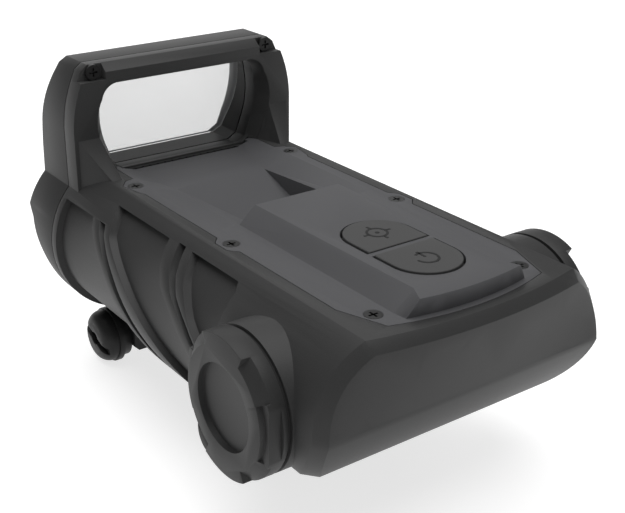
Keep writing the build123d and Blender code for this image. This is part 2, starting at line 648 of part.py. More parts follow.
with BuildPart() as front_lens:
    with BuildSketch(section(NOSE_Y)):
        window_outline(FRAME_WALL)
    extrude(amount=BEZEL_DEPTH)
    split(bisect_by=lens_plane(FIT_GAP), keep=Keep.TOP)
    split(bisect_by=lens_plane(LENS_THICKNESS), keep=Keep.BOTTOM)
front_lens.part.label = "front_lens"
export_step(front_lens.part, "parts/front_lens.step")

# ==== top cover ==========================================================================================
def block_outline(half_front, half_corner, half_end, end_shift):
    """Draws the keypad block's plan in the open sketch."""
    corner_y = BLOCK_REAR_Y + BLOCK_CORNER
    end_y = BLOCK_REAR_Y + end_shift + BLOCK_RADIUS - math.sqrt(BLOCK_RADIUS**2 - half_end**2)
    with BuildLine() as edge:
        Polyline(
            (-half_end, end_y),
            (-half_corner, corner_y),
            (-half_front, BLOCK_FRONT_Y),
            (half_front, BLOCK_FRONT_Y),
            (half_corner, corner_y),
            (half_end, end_y),
        )
        ThreePointArc((half_end, end_y), (0, BLOCK_REAR_Y + end_shift), (-half_end, end_y))
    make_face(edge.edges())


def pad_half(grow, sign):
    """Draws one half of the two-button pad in the open sketch: 1 is the front half, -1 the rear half."""
    with BuildSketch(Plane.XY, mode=Mode.PRIVATE) as pad:
        with Locations((0, PAD_Y)):
            SlotCenterToCenter(2 * PAD_HALF_STRAIGHT, 2 * (PAD_RADIUS + grow), rotation=90)
        with Locations((0, PAD_Y - sign * (FAR / 2 - BAND_WIDTH / 2 - BAND_GAP + min(grow, BAND_GAP)))):
            Rectangle(FAR, FAR, mode=Mode.SUBTRACT)
    add(pad.sketch)


EMITTER_PORT = [(-4.6, -9.6), (4.6, -9.6), (4.6, -4.6), (-4.6, -4.6)]

with BuildPart() as top_cover:
    with BuildSketch(deck(0)):
        cover_outline(0)
    extrude(amount=-COVER_THICKNESS)
    tub = [
        (FLOOR_START_Y + 6.4, -1.0),
        (FLOOR_START_Y + 6.4, -FLOOR_DROP - TUB_WALL),
        (RAMP_TOP_Y, -FLOOR_DROP - TUB_WALL),
        (BLOCK_FRONT_Y - TUB_WALL, -RAMP_DROP - TUB_WALL - 0.6),
        (BLOCK_FRONT_Y - TUB_WALL, -1.0),
    ]
    tub_half = RAMP_HALF_WIDTH + TUB_WALL
    slab(side(-tub_half), tub, 2 * tub_half)
    with BuildSketch(deck(-COVER_THICKNESS / 2)) as block_foot:
        block_outline(BLOCK_HALF_BASE, BLOCK_HALF_BASE, BLOCK_HALF_BASE - 0.3, 0)
    extrude(block_foot.sketch, amount=COVER_THICKNESS / 2)
    with BuildSketch(deck(0)) as block_base:
        block_outline(BLOCK_HALF_BASE, BLOCK_HALF_BASE, BLOCK_HALF_BASE - 0.3, 0)
    with BuildSketch(deck(BLOCK_HEIGHT)) as block_top:
        block_outline(BLOCK_HALF_TOP + 0.2, BLOCK_HALF_TOP - 0.3, BLOCK_HALF_TOP + 1.5, -0.3)
    loft([block_base.sketch.face(), block_top.sketch.face()], ruled=True)
    # hollow under the block
    hollow_block = [
        (BLOCK_HOLLOW, BLOCK_FRONT_Y - TUB_WALL),
        (BLOCK_HOLLOW, BLOCK_REAR_Y + 3.2),
    ]
    slab(deck(-COVER_THICKNESS), both_sides(hollow_block), COVER_THICKNESS + BLOCK_HEIGHT - BLOCK_WALL,
         mode=Mode.SUBTRACT)
    # banks and floor of the channel
    stations = [
        (SEAM_Y - TONGUE_END, 13.6, -1.3),
        (FLOOR_START_Y, 12.4, -FLOOR_DROP),
        (RAMP_TOP_Y, RAMP_HALF_WIDTH + 0.2, -FLOOR_DROP),
        (BLOCK_FRONT_Y, BLOCK_HALF_BASE, -0.35),
    ]
    for (y0, x0, z0), (y1, x1, z1) in zip(stations[:-1], stations[1:]):
        with BuildSketch(section(y0)) as near_end:
            Polygon(*both_sides([(BANK_HALF_WIDTH, 0), (x0, z0)]), align=None)
        with BuildSketch(section(y1)) as far_end:
            Polygon(*both_sides([(BANK_HALF_WIDTH, 0), (x1, z1)]), align=None)
        loft([near_end.sketch.face(), far_end.sketch.face()], ruled=True, mode=Mode.SUBTRACT)
    ramp = [(RAMP_TOP_Y, -FLOOR_DROP), (BLOCK_FRONT_Y, -RAMP_DROP), (BLOCK_FRONT_Y, 1.0), (RAMP_TOP_Y, 1.0)]
    slab(side(-RAMP_HALF_WIDTH), ramp, 2 * RAMP_HALF_WIDTH, mode=Mode.SUBTRACT)
    # groove for the sill strip, emitter port, button openings
    sill = [(-16.6, -2.0), (16.6, -2.0), (16.6, 1.0), (-16.6, 1.0)]
    slab(section(SEAM_Y - TONGUE_END + 1.0), sill, 2.3, mode=Mode.SUBTRACT)
    slab(section(BLOCK_FRONT_Y + 1.0), EMITTER_PORT, TUB_WALL + 2.0, mode=Mode.SUBTRACT)
    with BuildSketch(deck(BLOCK_HEIGHT + 1.0)) as button_openings:
        for sign in (-1, 1):
            pad_half(PAD_GAP, sign)
    extrude(button_openings.sketch, amount=-BLOCK_WALL - 2.0, mode=Mode.SUBTRACT)
    for x, y in COVER_SCREWS:
        screw_seat(Plane(origin=(x, y, DECK_HEIGHT), z_dir=(0, 0, 1)), LEDGE_DROP)
top_cover.part.label = "top_cover"
export_step(top_cover.part, "parts/top_cover.step")

with BuildPart() as cover_gasket:
    with BuildSketch(deck(-COVER_THICKNESS)):
        cover_outline(-0.4)
    extrude(amount=COVER_THICKNESS - LEDGE_DROP)
    slab(deck(0), both_sides([(OPENING_HALF_WIDTH, SEAM_Y - 6.0), *opening[1:]]), -FAR, mode=Mode.SUBTRACT)
    for x, y in COVER_SCREWS:
        rod(Plane(origin=(x, y, DECK_HEIGHT), z_dir=(0, 0, 1)), SCREW_RADIUS + SCREW_GAP, -FAR, mode=Mode.SUBTRACT)
cover_gasket.part.label = "cover_gasket"
export_step(cover_gasket.part, "parts/cover_gasket.step")

with BuildPart() as cover_screws:
    for x, y in COVER_SCREWS:
        flat_screw(Plane(origin=(x, y, DECK_HEIGHT - SCREW_SINK), z_dir=(0, 0, 1)), SCREW_LENGTH)
cover_screws.part.label = "cover_screws"
export_step(cover_screws.part, "parts/cover_screws.step")

with BuildPart() as sill_strip:
    TEETH = 16
    tooth = 30.0 / TEETH
    strip_y = SEAM_Y - TONGUE_END - 0.1
    saw = [(15.0, strip_y), (-15.0, strip_y), (-15.0, strip_y - 0.6)]
    for index in range(TEETH):
        saw += [
            (-15.0 + tooth * (index + 0.15), strip_y - 1.0),
            (-15.0 + tooth * (index + 0.65), strip_y - 1.0),
            (-15.0 + tooth * (index + 1), strip_y - 0.6),
        ]
    slab(deck(-2.0), saw, 0.75)
sill_strip.part.label = "sill_strip"
export_step(sill_strip.part, "parts/sill_strip.step")

# ==== buttons, keypad mat, board =========================================================================
FLANGE_TOP = BLOCK_HEIGHT - BLOCK_WALL - 0.1
MAT_TOP = FLANGE_TOP - FLANGE_THICKNESS - BUTTON_TRAVEL - FIT_GAP


def button(sign):
    """Adds one button to the open part: its cap above the block's top and its flange below it."""
    with BuildSketch(deck(BLOCK_HEIGHT + PAD_PROUD)) as cap:
        pad_half(0, sign)
    extrude(cap.sketch, amount=-BLOCK_WALL - PAD_PROUD - FIT_GAP - FLANGE_THICKNESS)
    with BuildSketch(deck(FLANGE_TOP)) as flange:
        with Locations((0, PAD_Y + sign * (BAND_WIDTH / 2 + BAND_GAP + 5.6))):
            Rectangle(2 * (PAD_RADIUS + FLANGE_LIP), 11.2)
    extrude(flange.sketch, amount=-FLANGE_THICKNESS)
    top_rim = faces().sort_by(Axis.Z)[-1].edges()
    fillet(top_rim, radius=0.2)


with BuildPart() as mode_button:
    button(1)
mode_button.part.label = "mode_button"
export_step(mode_button.part, "parts/mode_button.step")

with BuildPart() as power_button:
    button(-1)
power_button.part.label = "power_button"
export_step(power_button.part, "parts/power_button.step")

BOARD_TOP = -3.6
BOARD_THICKNESS = 1.0
BOARD_FRONT_Y = BLOCK_FRONT_Y - 14.0
BOARD_REAR_Y = BLOCK_REAR_Y + 4.2
BOARD_HALF = 12.4
SWITCH_SIZE = 4.4
SWITCH_OFFSET = PAD_HALF_STRAIGHT + 0.8

with BuildPart() as keypad_mat:
    mat_half = BLOCK_HOLLOW - 0.3
    mat = [(mat_half, PAD_Y + 13.5), (mat_half, PAD_Y - 13.5)]
    slab(deck(MAT_TOP - 0.5), both_sides(mat), 0.5)
    for sign in (-1, 1):
        rod(Plane(origin=(0, PAD_Y + sign * SWITCH_OFFSET, DECK_HEIGHT + MAT_TOP - 0.9)), 1.6, 0.4)
keypad_mat.part.label = "keypad_mat"
export_step(keypad_mat.part, "parts/keypad_mat.step")

with BuildPart() as circuit_board:
    board = [(BOARD_HALF, BOARD_FRONT_Y), (BOARD_HALF, BOARD_REAR_Y)]
    slab(deck(BOARD_TOP), both_sides(board), -BOARD_THICKNESS)
    with Locations((0, BOARD_FRONT_Y - 3.0, DECK_HEIGHT + BOARD_TOP)):
        Box(7.0, 4.0, 1.0, align=(Align.CENTER, Align.CENTER, Align.MIN))
circuit_board.part.label = "circuit_board"
export_step(circuit_board.part, "parts/circuit_board.step")

with BuildPart() as tact_switches:
    switch_height = MAT_TOP - 1.0 - BOARD_TOP
    for sign in (-1, 1):
        with Locations((0, PAD_Y + sign * SWITCH_OFFSET, DECK_HEIGHT + BOARD_TOP)):
            Box(SWITCH_SIZE, SWITCH_SIZE, switch_height - 0.6, align=(Align.CENTER, Align.CENTER, Align.MIN))
            Cylinder(1.2, switch_height, align=(Align.CENTER, Align.CENTER, Align.MIN))
tact_switches.part.label = "tact_switches"
export_step(tact_switches.part, "parts/tact_switches.step")

with BuildPart() as board_posts:
    for x in (-BOARD_HALF + 2.0, BOARD_HALF - 2.0):
        for y in (BOARD_FRONT_Y - 3.0, BOARD_REAR_Y + 3.0):
            rod(Plane(origin=(x, y, DECK_HEIGHT - COVER_THICKNESS)), 1.5, COVER_THICKNESS + BOARD_TOP)
board_posts.part.label = "board_posts"
export_step(board_posts.part, "parts/board_posts.step")

# ==== emitter ============================================================================================
TILT = math.radians(EMITTER_TILT)
BEAM = Vector(0, math.cos(TILT), math.sin(TILT))
EMITTER_BACK = Vector(0, EMITTER_Y - 3.6, DECK_HEIGHT - EMITTER_DROP - 1.6)


def beam_plane(distance):
    """Plane across the light beam, a distance in front of the emitter's back end."""
    return Plane(origin=EMITTER_BACK + BEAM * distance, x_dir=(1, 0, 0), z_dir=BEAM)


with BuildPart() as emitter_module:
    rod(beam_plane(0), EMITTER_RADIUS, EMITTER_LENGTH)
    rod(beam_plane(EMITTER_LENGTH - 1.2), EMITTER_RADIUS - 0.8, 1.2, mode=Mode.SUBTRACT)
    rod(beam_plane(-1.0), EMITTER_RADIUS - 1.0, 1.0)
emitter_module.part.label = "emitter_module"
export_step(emitter_module.part, "parts/emitter_module.step")

with BuildPart() as emitter_lens:
    rod(beam_plane(EMITTER_LENGTH - 1.1), EMITTER_RADIUS - 0.9, 0.9)
emitter_lens.part.label = "emitter_lens"
export_step(emitter_lens.part, "parts/emitter_lens.step")

with BuildPart() as emitter_carrier:
    with BuildSketch(beam_plane(1.0)):
        Rectangle(9.0, 12.2)
        Circle(EMITTER_RADIUS + SCREW_GAP, mode=Mode.SUBTRACT)
    extrude(amount=5.4)
    rod(facing(-FAR / 2, PIN_Y, DECK_HEIGHT - PIN_DROP), PIN_RADIUS + SCREW_GAP, FAR, mode=Mode.SUBTRACT)
emitter_carrier.part.label = "emitter_carrier"
export_step(emitter_carrier.part, "parts/emitter_carrier.step")

# A bracket under the keypad block holds the carrier on a cross pin.
with BuildPart() as carrier_bracket:
    ceiling = BLOCK_HEIGHT - BLOCK_WALL
    ear = [(PIN_Y - 2.2, ceiling), (PIN_Y + 2.2, ceiling), (PIN_Y + 2.2, -PIN_DROP - 1.8), (PIN_Y - 2.2, -PIN_DROP - 1.8)]
    slab(side(-EAR_X - EAR_THICKNESS), ear, 2 * (EAR_X + EAR_THICKNESS))
    between = [(PIN_Y - 3.0, ceiling - 1.0), (PIN_Y + 3.0, ceiling - 1.0), (PIN_Y + 3.0, -FAR), (PIN_Y - 3.0, -FAR)]
    slab(side(-EAR_X), between, 2 * EAR_X, mode=Mode.SUBTRACT)
    rod(facing(-FAR / 2, PIN_Y, DECK_HEIGHT - PIN_DROP), PIN_RADIUS + SCREW_GAP, FAR, mode=Mode.SUBTRACT)
carrier_bracket.part.label = "carrier_bracket"
export_step(carrier_bracket.part, "parts/carrier_bracket.step")

with BuildPart() as carrier_pin:
    rod(facing(-EAR_X - EAR_THICKNESS - 0.6, PIN_Y, DECK_HEIGHT - PIN_DROP), PIN_RADIUS, 2 * (EAR_X + EAR_THICKNESS + 0.6))
carrier_pin.part.label = "carrier_pin"
export_step(carrier_pin.part, "parts/carrier_pin.step")

with BuildPart() as emitter_window:
    port = [(x * 0.97, z + (0.1 if z < -7 else -0.1)) for x, z in EMITTER_PORT]
    slab(section(BLOCK_FRONT_Y - 0.5), port, 0.9)
emitter_window.part.label = "emitter_window"
export_step(emitter_window.part, "parts/emitter_window.step")

# ==== adjusters in the right flank =======================================================================
def adjuster(y):
    """Adds a coin-slot adjuster to the open part, its face just below the flank."""
    inner_face = BARREL_OFFSET + math.sqrt((BARREL_RADIUS - BODY_WALL) ** 2 - DIAL_FLANGE**2) - SLIDE_GAP
    rod(facing(DIAL_FACE_X, y, BATTERY_Z), DIAL_RADIUS, inner_face - DIAL_FACE_X)
    rod(facing(inner_face, y, BATTERY_Z), DIAL_FLANGE, -1.2)
    rod(facing(inner_face, y, BATTERY_Z), 1.4, -4.5)
    with BuildSketch(facing(DIAL_FACE_X, y, BATTERY_Z)) as slot:
        Rectangle(1.5 * DIAL_RADIUS, COIN_SLOT)
    extrude(slot.sketch, amount=-0.8, mode=Mode.SUBTRACT)


with BuildPart() as elevation_adjuster:
    adjuster(DIAL_Y + DIAL_PITCH / 2)
elevation_adjuster.part.label = "elevation_adjuster"
export_step(elevation_adjuster.part, "parts/elevation_adjuster.step")

with BuildPart() as windage_adjuster:
    adjuster(DIAL_Y - DIAL_PITCH / 2)
windage_adjuster.part.label = "windage_adjuster"
export_step(windage_adjuster.part, "parts/windage_adjuster.step")

# ==== battery compartment ================================================================================
with BuildPart() as battery_tube:
    rod(facing(-PLUG_END + FIT_GAP, BATTERY_Y, BATTERY_Z), TUBE_BORE + TUBE_WALL, 2 * PLUG_END - 2 * FIT_GAP)
    rod(facing(-PLUG_END, BATTERY_Y, BATTERY_Z), TUBE_BORE, FAR, mode=Mode.SUBTRACT)
battery_tube.part.label = "battery_tube"
export_step(battery_tube.part, "parts/battery_tube.step")

with BuildPart() as battery_cells:
    for start in (-CELL_LENGTH, 0.05):
        rod(facing(start, BATTERY_Y, BATTERY_Z), CELL_RADIUS, CELL_LENGTH - 1.05)
        rod(facing(start + CELL_LENGTH - 1.05, BATTERY_Y, BATTERY_Z), 3.0, 1.0)
battery_cells.part.label = "battery_cells"
export_step(battery_cells.part, "parts/battery_cells.step")


def cap_sector(points, first, last):
    """Cuts, from the open part, a ring of a section given as (distance from the axis, x) over some degrees."""
    turn = math.radians(first)
    direction = Vector(0, -math.cos(turn), math.sin(turn))
    plane = Plane(
        origin=(0, BATTERY_Y, BATTERY_Z), x_dir=direction, z_dir=direction.cross(Vector(1, 0, 0))
    )
    with BuildSketch(plane) as wedge:
        Polygon(*points, align=None)
    axis = Axis((0, BATTERY_Y, BATTERY_Z), (-1, 0, 0))
    revolve(wedge.sketch, axis=axis, revolution_arc=last - first, mode=Mode.SUBTRACT)


def battery_cap():
    """Adds a battery cap to the open part, on the right side: a rim, two lobes, four scallops and two flats."""
    rod(facing(CAP_START, BATTERY_Y, BATTERY_Z), BOSS_RADIUS, CAP_THICKNESS)
    outside = BOSS_RADIUS + 1.0
    scallop = [(CAP_EDGE, CAP_END + 0.1), (outside, CAP_END + 0.1), (outside, CAP_END - 2.6), (CAP_EDGE, CAP_END)]
    step = [(CAP_EDGE + 0.2, CAP_END + 0.1), (outside, CAP_END + 0.1), (outside, CAP_END - 1.0),
            (CAP_EDGE + 0.2, CAP_END - 1.0)]
    for middle in (45, 135, 225, 315):
        cap_sector(scallop, middle - 18, middle + 18)
    for middle in (0, 180):
        cap_sector(step, middle - 27, middle + 27)
    for sign in (-1, 1):
        flat = [
            (BATTERY_Y + sign * CAP_FLAT, -FAR),
            (BATTERY_Y + sign * CAP_FLAT, FAR),
            (BATTERY_Y + sign * 2 * CAP_FLAT, FAR),
            (BATTERY_Y + sign * 2 * CAP_FLAT, -FAR),
        ]
        slab(side(CAP_START + CAP_RIM), flat, FAR, mode=Mode.SUBTRACT)
    rod(facing(CAP_END - CAP_RECESS_DEPTH, BATTERY_Y, BATTERY_Z), CAP_RECESS_RADIUS, FAR, mode=Mode.SUBTRACT)
    rod(facing(CAP_START, BATTERY_Y, BATTERY_Z), CAP_PLUG_RADIUS, -CAP_PLUG_LENGTH)
    rod(facing(PLUG_END, BATTERY_Y, BATTERY_Z), CAP_BORE, CUP_END - PLUG_END, mode=Mode.SUBTRACT)


LOCK_SCREW_X = (CUP_END + CAP_END - CAP_RECESS_DEPTH) / 2 + 0.1
LOCK_SEAT = Plane(origin=(LOCK_SCREW_X, BATTERY_Y - CAP_FLAT, BATTERY_Z), x_dir=(1, 0, 0), z_dir=(0, -1, 0))

with BuildPart() as right_battery_cap:
    battery_cap()
    rod(LOCK_SEAT, 2 * LOCK_SCREW_RADIUS + 0.1, -0.5, mode=Mode.SUBTRACT)
    rod(LOCK_SEAT, LOCK_SCREW_RADIUS + SCREW_GAP, -3.6, mode=Mode.SUBTRACT)
right_battery_cap.part.label = "right_battery_cap"
export_step(right_battery_cap.part, "parts/right_battery_cap.step")

with BuildPart() as left_battery_cap:
    battery_cap()
    mirror(about=Plane.YZ, mode=Mode.REPLACE)
left_battery_cap.part.label = "left_battery_cap"
export_step(left_battery_cap.part, "parts/left_battery_cap.step")

with BuildPart() as cap_lock_screw:
    rod(LOCK_SEAT.offset(-0.05), 2 * LOCK_SCREW_RADIUS, -0.4)
    rod(LOCK_SEAT.offset(-0.05), LOCK_SCREW_RADIUS, -3.3)
    with BuildSketch(LOCK_SEAT.offset(-0.05)) as lock_recess:
        Rectangle(1.3, 0.28)
        Rectangle(0.28, 1.3)
    extrude(lock_recess.sketch, amount=-0.3, mode=Mode.SUBTRACT)
cap_lock_screw.part.label = "cap_lock_screw"
export_step(cap_lock_screw.part, "parts/cap_lock_screw.step")


def cap_seal(start):
    """Adds a flat ring between a boss and its cap to the open part."""
    with BuildSketch(facing(start, BATTERY_Y, BATTERY_Z)) as ring:
        Circle(BOSS_RADIUS - 0.6)
        Circle(CAP_PLUG_RADIUS + THREAD_GAP, mode=Mode.SUBTRACT)
    extrude(ring.sketch, amount=CAP_GAP - 0.1)


with BuildPart() as left_cap_seal:
    cap_seal(-CAP_START + 0.05)
left_cap_seal.part.label = "left_cap_seal"
export_step(left_cap_seal.part, "parts/left_cap_seal.step")

with BuildPart() as right_cap_seal:
    cap_seal(BOSS_END + 0.05)
right_cap_seal.part.label = "right_cap_seal"
export_step(right_cap_seal.part, "parts/right_cap_seal.step")

with BuildPart() as left_contact_spring:
    with BuildSketch(facing(-CUP_END, BATTERY_Y, BATTERY_Z)):
        Circle(7.4)
        Circle(2.0, mode=Mode.SUBTRACT)
    extrude(amount=0.4)
    with BuildSketch(facing(-CUP_END + 0.4, BATTERY_Y, BATTERY_Z)) as coil_foot:
        Circle(6.4)
    with BuildSketch(facing(-CELL_LENGTH - 0.1, BATTERY_Y, BATTERY_Z)) as coil_end:
        Circle(4.2)
    loft([coil_foot.sketch.face(), coil_end.sketch.face()])
    rod(facing(-CUP_END, BATTERY_Y, BATTERY_Z), 2.0, FAR, mode=Mode.SUBTRACT)
left_contact_spring.part.label = "left_contact_spring"
export_step(left_contact_spring.part, "parts/left_contact_spring.step")

with BuildPart() as right_contact_disc:
    rod(facing(CELL_LENGTH + 0.15, BATTERY_Y, BATTERY_Z), 7.4, 0.8)
right_contact_disc.part.label = "right_contact_disc"
export_step(right_contact_disc.part, "parts/right_contact_disc.step")

# ==== rail clamp =========================================================================================
def across_rail(y):
    """Plane across the sight at y whose Y is the height above the rail seat, it faces rearwards."""
    return Plane(origin=(0, y, 0), x_dir=(1, 0, 0), z_dir=(0, -1, 0))


BASE_SCREWS = [(x, y) for x in (-4.5, 4.5) for y in (-12.0, 12.0)]

with BuildPart() as rail_base:
    plate = [(BASE_HALF_WIDTH, BASE_HALF_LENGTH), (BASE_HALF_WIDTH, -BASE_HALF_LENGTH)]
    slab(Plane.XY, both_sides([(BASE_HALF_WIDTH, BASE_HALF_LENGTH - 6.0), plate[1]]), BASE_THICKNESS)
    fixed_jaw = [
        (RAIL_TOP_HALF - 2.0, BASE_THICKNESS - 0.6),
        (RAIL_TOP_HALF - 2.0, 0),
        (RAIL_TOP_HALF, 0),
        (RAIL_WIDE_HALF, -RAIL_WIDE_DROP),
        (RAIL_WIDE_HALF - JAW_DROP + RAIL_WIDE_DROP, -JAW_DROP),
        (FIXED_JAW_END - 1.2, -JAW_DROP),
        (FIXED_JAW_END, -JAW_DROP + 1.2),
        (FIXED_JAW_END, BASE_THICKNESS - 0.6),
    ]
    for y in BOLT_YS:
        slab(across_rail(y + CLAMP_LENGTH / 2), fixed_jaw, CLAMP_LENGTH)
        rod(facing(0, y, -BOLT_DROP), BOLT_RADIUS + THREAD_GAP, FAR, mode=Mode.SUBTRACT)
    for x, y in BASE_SCREWS:
        rod(Plane(origin=(x, y, 0)), SCREW_RADIUS + SCREW_GAP, FAR, mode=Mode.SUBTRACT)
        rod(Plane(origin=(x, y, 0)), SCREW_HEAD + SCREW_GAP, 1.1, mode=Mode.SUBTRACT)
rail_base.part.label = "rail_base"
export_step(rail_base.part, "parts/rail_base.step")

with BuildPart() as base_screws:
    for x, y in BASE_SCREWS:
        seat = Plane(origin=(x, y, 0.1), x_dir=(1, 0, 0), z_dir=(0, 0, -1))
        rod(seat, SCREW_HEAD, -0.95)
        rod(seat, SCREW_RADIUS, -BASE_THICKNESS + 0.1)
        cross_recess(seat)
base_screws.part.label = "base_screws"
export_step(base_screws.part, "parts/base_screws.step")


def clamp_plate(y):
    """Adds the moving jaw of one clamp to the open part."""
    top = -SLIDE_GAP
    jaw = [
        (-RAIL_TOP_HALF - SLIDE_GAP, top),
        (-RAIL_WIDE_HALF, -RAIL_WIDE_DROP),
        (-RAIL_WIDE_HALF + JAW_DROP - RAIL_WIDE_DROP, -JAW_DROP),
        (-MOVING_JAW_END + 1.0, -JAW_DROP),
        (-MOVING_JAW_END, -JAW_DROP + 1.0),
        (-MOVING_JAW_END, top - 0.6),
        (-MOVING_JAW_END + 0.6, top),
    ]
    slab(across_rail(y + CLAMP_LENGTH / 2), jaw, CLAMP_LENGTH)
    rod(facing(-FAR / 2, y, -BOLT_DROP), BOLT_RADIUS + THREAD_GAP, FAR, mode=Mode.SUBTRACT)


def cross_bolt(y):
    """Adds one cross bolt to the open part: a head, a round shank and the lug that sits in the rail's slot."""
    rod(facing(FIXED_JAW_END + 0.05, y, -BOLT_DROP), BOLT_HEAD_RADIUS, BOLT_HEAD_LENGTH)
    rod(facing(-BOLT_END, y, -BOLT_DROP), BOLT_RADIUS, BOLT_END + FIXED_JAW_END + 0.05)
    half = RAIL_TOP_HALF + 0.4
    below = [(-half, -KEY_FLOOR), (half, -KEY_FLOOR), (half, -FAR), (-half, -FAR)]
    slab(across_rail(y + BOLT_HEAD_RADIUS), below, 2 * BOLT_HEAD_RADIUS, mode=Mode.SUBTRACT)
    lug_half = RAIL_TOP_HALF - 0.3
    lug = [(-lug_half, -KEY_FLOOR), (lug_half, -KEY_FLOOR), (lug_half, -0.2), (-lug_half, -0.2)]
    slab(across_rail(y + KEY_HALF_WIDTH), lug, 2 * KEY_HALF_WIDTH)
    with BuildSketch(facing(FIXED_JAW_END + 0.05 + BOLT_HEAD_LENGTH, y, -BOLT_DROP)) as socket:
        RegularPolygon(1.5, 6, major_radius=False)
    extrude(socket.sketch, amount=-1.5, mode=Mode.SUBTRACT)


def clamp_nut(y):
    """Adds one domed clamp nut with a coin slot to the open part."""
    face = -MOVING_JAW_END - 0.05
    rod(facing(face, y, -BOLT_DROP), NUT_COLLAR_RADIUS, -NUT_COLLAR)
    rod(facing(face - NUT_COLLAR, y, -BOLT_DROP), NUT_RADIUS, -NUT_FLANGE)
    start = face - NUT_COLLAR - NUT_FLANGE
    end = start - NUT_DOME
    plane = Plane(origin=(0, y, -BOLT_DROP), x_dir=(0, 1, 0), z_dir=(0, 0, 1))
    with BuildSketch(plane) as dome:
        with BuildLine():
            Line((0, -end), (3.6, -end))
            ThreePointArc((3.6, -end), (NUT_RADIUS - 1.0, -end - 1.1), (NUT_RADIUS - 0.4, -start))
            Line((NUT_RADIUS - 0.4, -start), (0, -start))
            Line((0, -start), (0, -end))
        make_face()
    revolve(dome.sketch, axis=Axis((0, y, -BOLT_DROP), (1, 0, 0)))
    bore_start = face + 0.5
    bore_end = -BOLT_END - 0.2
    rod(facing(bore_start, y, -BOLT_DROP), BOLT_RADIUS + THREAD_GAP, bore_end - bore_start, mode=Mode.SUBTRACT)
    with BuildSketch(facing(end, y, -BOLT_DROP)) as slot:
        Rectangle(3 * NUT_RADIUS, NUT_SLOT, rotation=20)
        Circle(1.5)
    extrude(slot.sketch, amount=1.3, mode=Mode.SUBTRACT)


with BuildPart() as front_clamp_plate:
    clamp_plate(BOLT_YS[0])
front_clamp_plate.part.label = "front_clamp_plate"
export_step(front_clamp_plate.part, "parts/front_clamp_plate.step")

with BuildPart() as rear_clamp_plate:
    clamp_plate(BOLT_YS[1])
rear_clamp_plate.part.label = "rear_clamp_plate"
export_step(rear_clamp_plate.part, "parts/rear_clamp_plate.step")

with BuildPart() as front_cross_bolt:
    cross_bolt(BOLT_YS[0])
front_cross_bolt.part.label = "front_cross_bolt"
export_step(front_cross_bolt.part, "parts/front_cross_bolt.step")

with BuildPart() as rear_cross_bolt:
    cross_bolt(BOLT_YS[1])
rear_cross_bolt.part.label = "rear_cross_bolt"
export_step(rear_cross_bolt.part, "parts/rear_cross_bolt.step")

with BuildPart() as front_clamp_nut:
    clamp_nut(BOLT_YS[0])
front_clamp_nut.part.label = "front_clamp_nut"
export_step(front_clamp_nut.part, "parts/front_clamp_nut.step")

with BuildPart() as rear_clamp_nut:
    clamp_nut(BOLT_YS[1])
rear_clamp_nut.part.label = "rear_clamp_nut"
export_step(rear_clamp_nut.part, "parts/rear_clamp_nut.step")
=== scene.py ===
"""Looks for a rail-mounted reflex sight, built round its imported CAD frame. Lengths are in metres."""

import json
import logging
import math
from dataclasses import dataclass
from enum import Enum

import bpy
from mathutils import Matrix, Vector


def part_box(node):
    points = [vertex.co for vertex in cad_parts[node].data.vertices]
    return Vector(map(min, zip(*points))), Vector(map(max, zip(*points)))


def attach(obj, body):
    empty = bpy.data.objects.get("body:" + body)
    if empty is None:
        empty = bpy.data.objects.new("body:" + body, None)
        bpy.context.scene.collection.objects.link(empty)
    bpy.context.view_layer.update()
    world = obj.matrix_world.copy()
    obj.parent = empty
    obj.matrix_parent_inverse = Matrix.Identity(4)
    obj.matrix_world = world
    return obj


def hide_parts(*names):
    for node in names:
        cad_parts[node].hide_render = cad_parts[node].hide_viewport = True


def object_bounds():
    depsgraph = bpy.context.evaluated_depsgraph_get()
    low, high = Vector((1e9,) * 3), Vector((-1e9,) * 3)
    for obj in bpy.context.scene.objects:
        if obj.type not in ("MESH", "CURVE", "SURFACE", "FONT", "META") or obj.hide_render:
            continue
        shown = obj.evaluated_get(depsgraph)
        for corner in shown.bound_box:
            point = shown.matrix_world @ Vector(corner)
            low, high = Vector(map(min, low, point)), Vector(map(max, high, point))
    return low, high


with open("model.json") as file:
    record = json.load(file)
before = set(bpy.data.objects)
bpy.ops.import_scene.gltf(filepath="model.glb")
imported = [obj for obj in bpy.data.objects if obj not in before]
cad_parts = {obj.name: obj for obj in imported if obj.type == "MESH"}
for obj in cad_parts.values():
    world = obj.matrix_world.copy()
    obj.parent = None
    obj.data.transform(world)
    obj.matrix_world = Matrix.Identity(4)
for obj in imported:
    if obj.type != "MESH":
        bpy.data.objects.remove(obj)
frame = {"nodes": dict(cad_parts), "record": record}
CAD_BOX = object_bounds()
LOG = logging.getLogger("sight")

MM = 0.001
NODE_SMOOTH_ANGLE = 30.0  # CAD nodes are shaded smooth across edges that turn less, in degrees
COPY_SMOOTH_ANGLE = 34.0  # and so are their rounded copies

CLOUD_SPAN = 84.0  # grains across one cloud of colour
CLOUD_DETAIL = 3.0
SPECK_DETAIL = 2.0
SPECK_SHARE = 0.55  # of the colour's variation, against the cloud's
TINT_RANGE = (0.3, 0.7)  # noise values that give the darkest and the lightest colour
ROUGHNESS_SPREAD = 0.06
CELL_SPAN = 1.4  # grains across one cell of a cast or moulded surface
BUMP_DEPTH = 0.25  # of a grain's size

GLASS_INDEX = 1.3  # low, because the lens is thin
GLASS_CLOUD = 18.0 * MM


class Grain(Enum):
    """How a surface is textured."""

    COATED = "fine-grained paint over die-cast metal"
    MOULDED = "spark-eroded plastic"
    RUBBER = "dull rubber"
    TURNED = "turned and blackened metal"
    PLAIN = "smooth"


